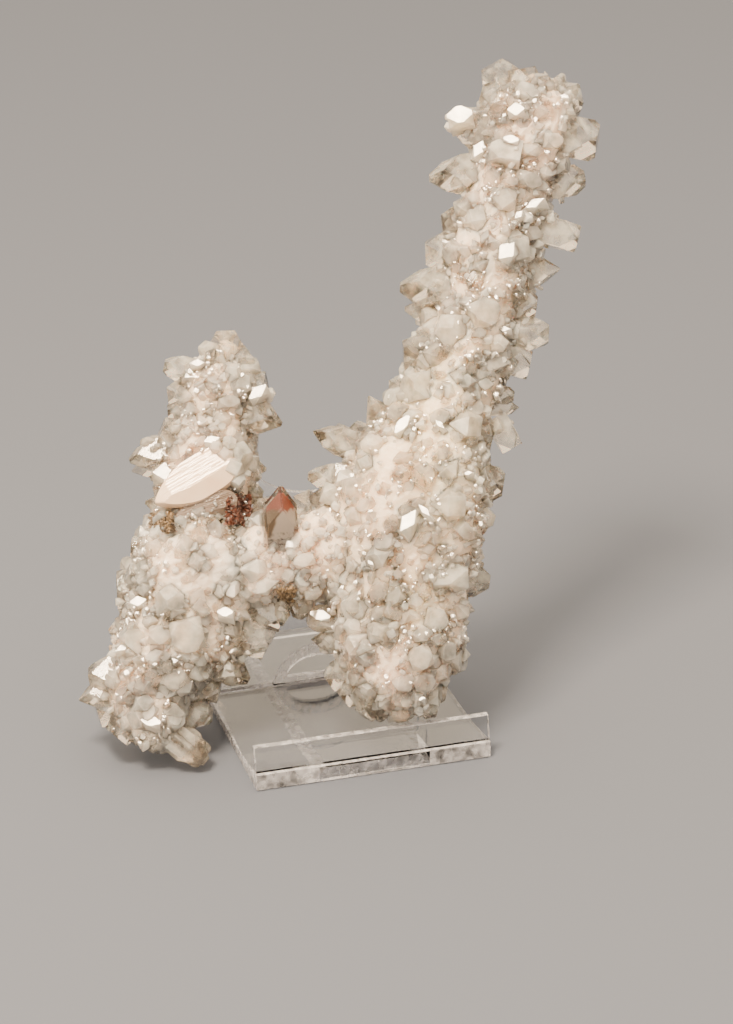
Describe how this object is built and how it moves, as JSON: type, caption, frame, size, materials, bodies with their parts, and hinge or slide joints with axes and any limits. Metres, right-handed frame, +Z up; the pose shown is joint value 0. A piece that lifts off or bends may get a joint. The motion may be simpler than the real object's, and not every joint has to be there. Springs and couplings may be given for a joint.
{
  "type": "apophyllite crystal specimen on a clear plastic easel",
  "caption": "Two stalactites crusted with apophyllite crystals, grown together at a bridge with a heulandite blade, leaning on a clear plastic easel.",
  "frame": {"origin": "under the middle of the easel's front lip, on the surface that it stands on", "axes": "+X to the viewer's right along the lip, +Y from the lip towards the back plate, +Z up"},
  "size_m": [0.1642, 0.0954, 0.185],
  "materials": {
    "apophyllite": "milky white to faintly pink crystal, clear at the tips",
    "heulandite": "pale peach, pearly and striated",
    "stained_apophyllite": "clear grey crystal with a rust brown skin near the tip",
    "clear_plastic": "clear, polished"
  },
  "bodies": {
    "root": {"left_stalactite": "apophyllite", "right_stalactite": "apophyllite", "heulandite_blade": "heulandite", "stained_crystal": "stained_apophyllite", "stand_base": "clear_plastic", "stand_back": "clear_plastic"}
  },
  "joints": []
}
